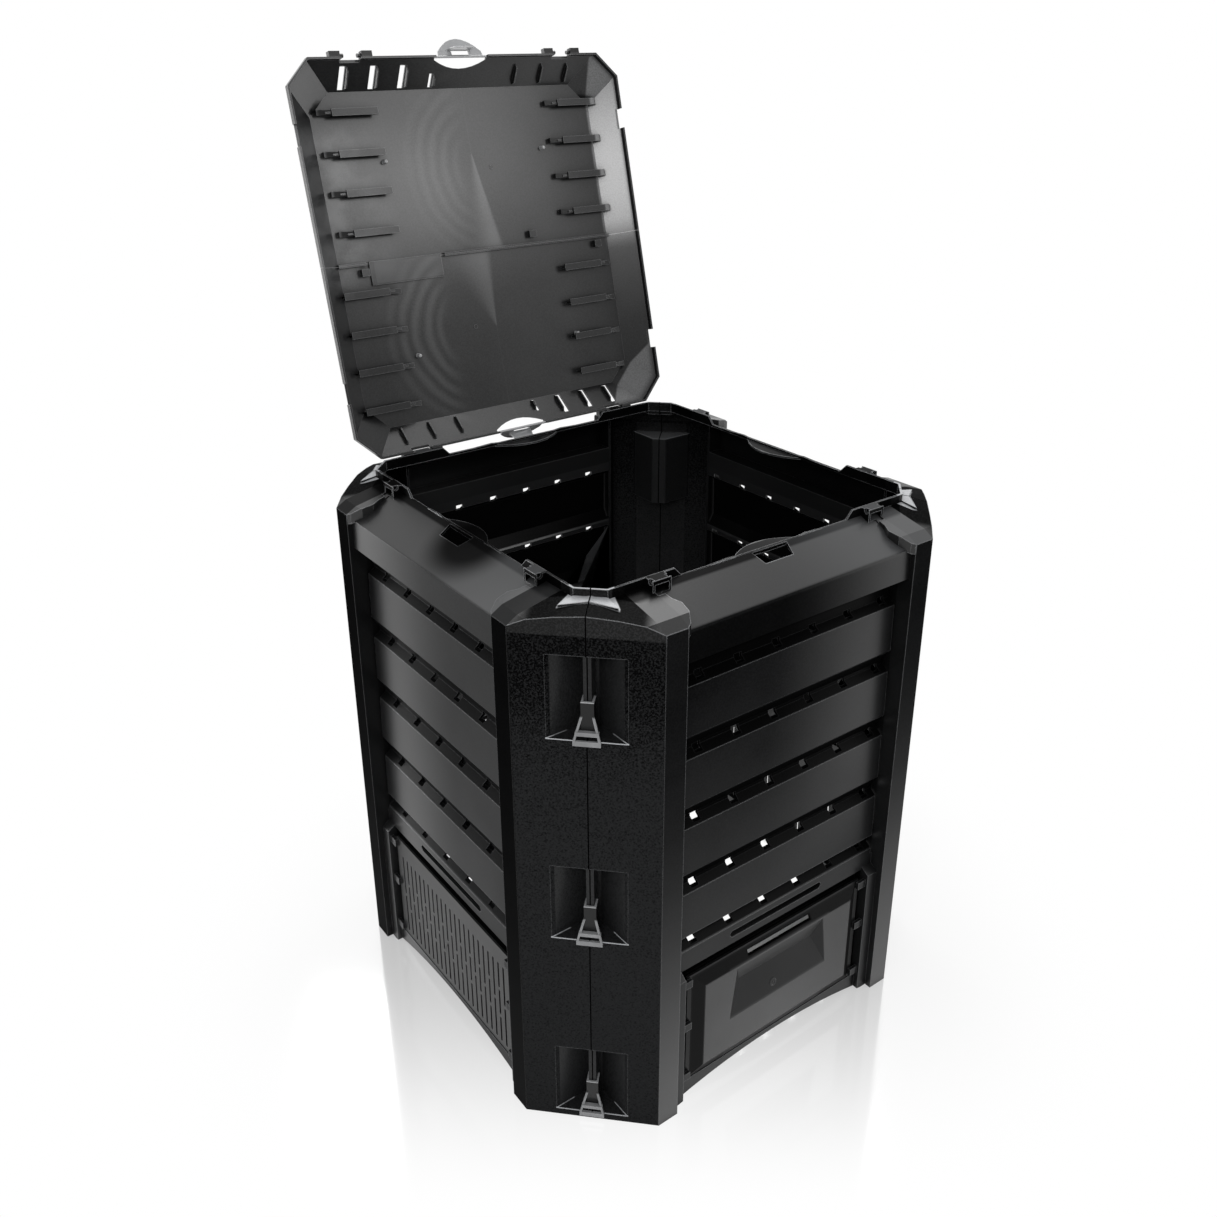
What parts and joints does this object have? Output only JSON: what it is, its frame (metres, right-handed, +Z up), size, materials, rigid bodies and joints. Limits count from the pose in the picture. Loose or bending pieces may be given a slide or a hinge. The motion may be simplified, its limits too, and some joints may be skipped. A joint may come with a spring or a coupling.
{
  "type": "compost bin with lid",
  "caption": "Square louvred garden compost bin with clipped corner posts, sliding emptying doors, vent grilles and a hinged two-part latched lid, shown open.",
  "frame": {"origin": "on the ground, under the middle of the whole model's width and depth, the open lid included", "axes": "+X to the right seen from the front, -Y towards the front (the lid hangs behind, at +Y), +Z up"},
  "size_m": [0.72, 0.82, 1.3786],
  "materials": {
    "wall_plastic": "satin slats, fine leather grain on the corner posts",
    "insert_plastic": "satin",
    "lid_plastic": "half gloss with faint flow marks",
    "trim_plastic": "satin"
  },
  "bodies": {
    "bin": {"wall_front": "wall_plastic", "wall_right": "wall_plastic", "wall_back": "wall_plastic", "wall_left": "wall_plastic", "grille_left": "insert_plastic", "grille_right": "insert_plastic", "clip_front_right_top": "trim_plastic", "clip_back_right_top": "trim_plastic", "clip_back_left_top": "trim_plastic", "clip_front_left_top": "trim_plastic", "clip_front_right_middle": "trim_plastic", "clip_back_right_middle": "trim_plastic", "clip_back_left_middle": "trim_plastic", "clip_front_left_middle": "trim_plastic", "clip_front_right_foot": "trim_plastic", "clip_back_right_foot": "trim_plastic", "clip_back_left_foot": "trim_plastic", "clip_front_left_foot": "trim_plastic"},
    "lid": {"lid_half_front": "lid_plastic", "lid_half_back": "lid_plastic"},
    "latch_front": {"latch_front": "trim_plastic"},
    "latch_back": {"latch_back": "trim_plastic"},
    "door_front": {"door_front": "insert_plastic"},
    "door_back": {"door_back": "insert_plastic"}
  },
  "joints": [
    {"name": "lid_hinge", "type": "hinge", "parent": "bin", "child": "lid", "pos_m": [0, 0.242, 0.79], "axis": [1, 0, 0], "range_deg": [0, 104]},
    {"name": "latch_front_tilt", "type": "hinge", "parent": "lid", "child": "latch_front", "pos_m": [0, 0.38341, 1.35302], "axis": [-1, 0, 0], "range_deg": [0, 38]},
    {"name": "latch_back_tilt", "type": "hinge", "parent": "lid", "child": "latch_back", "pos_m": [0, 0.24382, 0.79315], "axis": [-1, 0, 0], "range_deg": [0, 38]},
    {"name": "door_front_slide", "type": "slide", "parent": "bin", "child": "door_front", "axis": [0, 0, 1], "range_m": [0, 0.095]},
    {"name": "door_back_slide", "type": "slide", "parent": "bin", "child": "door_back", "axis": [0, 0, 1], "range_m": [0, 0.095]}
  ],
  "couplings": [
    {"joint": "latch_back_tilt", "follows": "lid_hinge", "ratio": 0.36538}
  ]
}
